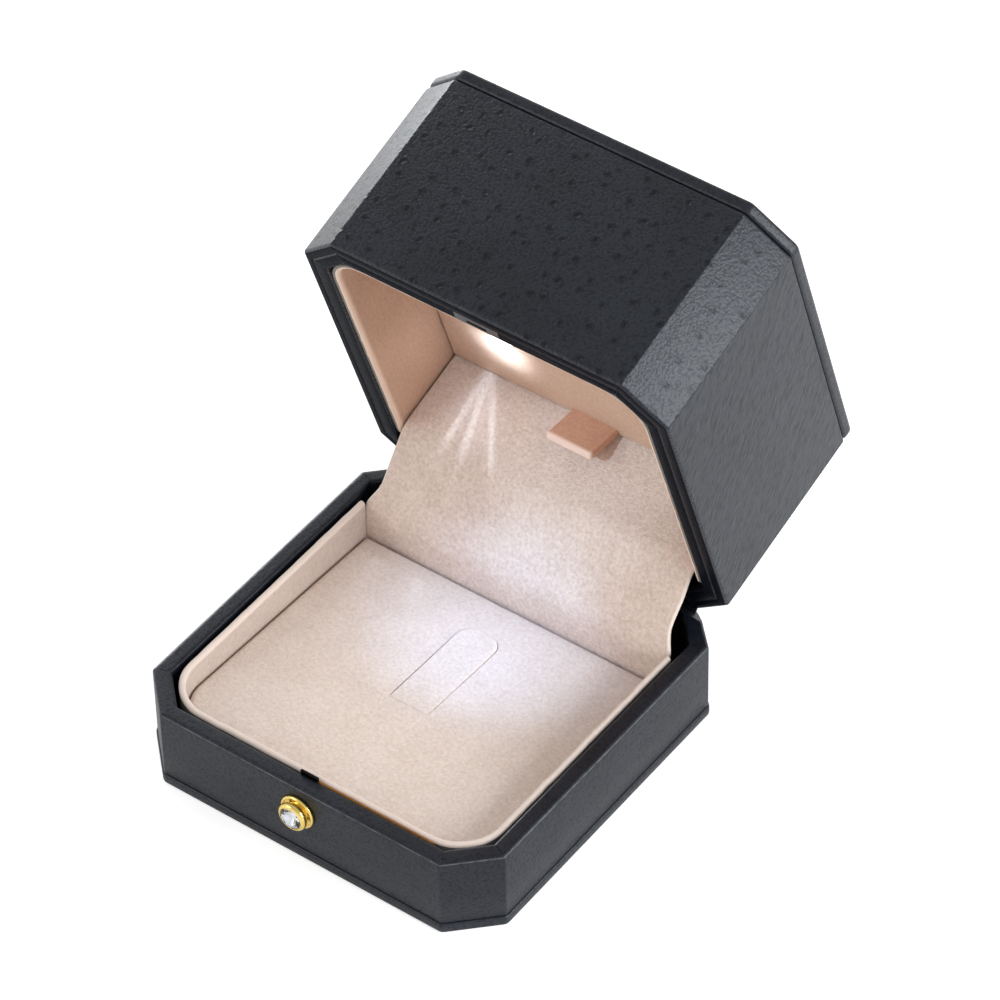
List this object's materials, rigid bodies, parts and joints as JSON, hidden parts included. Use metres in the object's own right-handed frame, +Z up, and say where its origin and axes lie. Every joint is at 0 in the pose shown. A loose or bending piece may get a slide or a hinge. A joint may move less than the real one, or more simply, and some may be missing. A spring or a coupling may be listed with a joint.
{
  "type": "ring display box",
  "caption": "Eight-sided leather-covered ring box, open, with a velvet ring pad, a back flap, a lit deep lid and a gold press button.",
  "frame": {"origin": "centre of the base's underside, on the surface it stands on", "axes": "+X to the right seen from the front, +Y towards the hinge, +Z up; the lid stands open at rest"},
  "size_m": [0.0706, 0.1082, 0.092],
  "materials": {
    "black_leather": "satin",
    "blush_velvet": "matte",
    "peach_velvet": "matte",
    "grey_board": "matte",
    "bottom_wood": "matte",
    "base_plastic": "matte",
    "foam": "matte",
    "hinge_steel": "satin",
    "gold_metal": "polished",
    "keeper_steel": "matte",
    "crystal": "polished",
    "light_lens": "gloss",
    "white_plastic": "matte",
    "green_board": "satin",
    "cell_metal": "satin"
  },
  "bodies": {
    "base": {"base_frame": "base_plastic", "base_cover": "black_leather", "bottom_board": "bottom_wood", "bottom_cover": "black_leather", "collar_card": "grey_board", "collar_velvet": "blush_velvet", "pad_foam": "foam", "pad_card": "grey_board", "pad_velvet": "blush_velvet", "hinge_base_leaf": "hinge_steel", "hinge_base_rivets": "hinge_steel", "hinge_pin": "hinge_steel", "hinge_spring": "hinge_steel", "spine_strip": "black_leather", "button_ring": "gold_metal", "catch_leaf": "gold_metal", "catch_rivets": "gold_metal"},
    "tongue": {"tongue_card": "grey_board", "tongue_velvet": "blush_velvet"},
    "button": {"button_cap": "gold_metal", "crystal": "crystal"},
    "lid": {"lid_frame": "grey_board", "lid_cover": "black_leather", "top_board": "grey_board", "top_cover": "black_leather", "lining_card": "grey_board", "lining_velvet": "peach_velvet", "spacer_blocks": "grey_board", "hinge_lid_leaf": "hinge_steel", "hinge_lid_rivets": "hinge_steel", "catch_keeper": "keeper_steel", "back_flap": "blush_velvet"},
    "ceiling": {"ceiling_card": "grey_board", "ceiling_velvet": "peach_velvet", "pull_tab": "peach_velvet", "light_case": "white_plastic", "light_case_cover": "white_plastic", "circuit_board": "green_board", "light": "light_lens", "coin_cell": "cell_metal", "cell_clip": "gold_metal", "tilt_switch": "gold_metal"}
  },
  "joints": [
    {"name": "lid_hinge", "type": "hinge", "parent": "base", "child": "lid", "pos_m": [0, 0.0334, 0.01495], "axis": [1, 0, 0], "range_deg": [0, 72], "stiffness_Nm_per_rad": 0.006, "springref_deg": -22.92, "deforming": ["back_flap", "spine_strip", "hinge_spring"]},
    {"name": "button_press", "type": "slide", "parent": "base", "child": "button", "axis": [0, 1, 0], "range_m": [0, 0.0008], "stiffness_N_per_m": 300, "deforming": ["catch_leaf"]},
    {"name": "tongue_lift", "type": "hinge", "parent": "base", "child": "tongue", "pos_m": [0, -0.0064, 0.00994], "axis": [1, 0, 0], "range_deg": [0, 30], "stiffness_Nm_per_rad": 0.0004, "springref_deg": -5.73},
    {"name": "ceiling_pull", "type": "slide", "parent": "lid", "child": "ceiling", "axis": [0, -0.9511, -0.309], "range_m": [0, 0.008]}
  ]
}
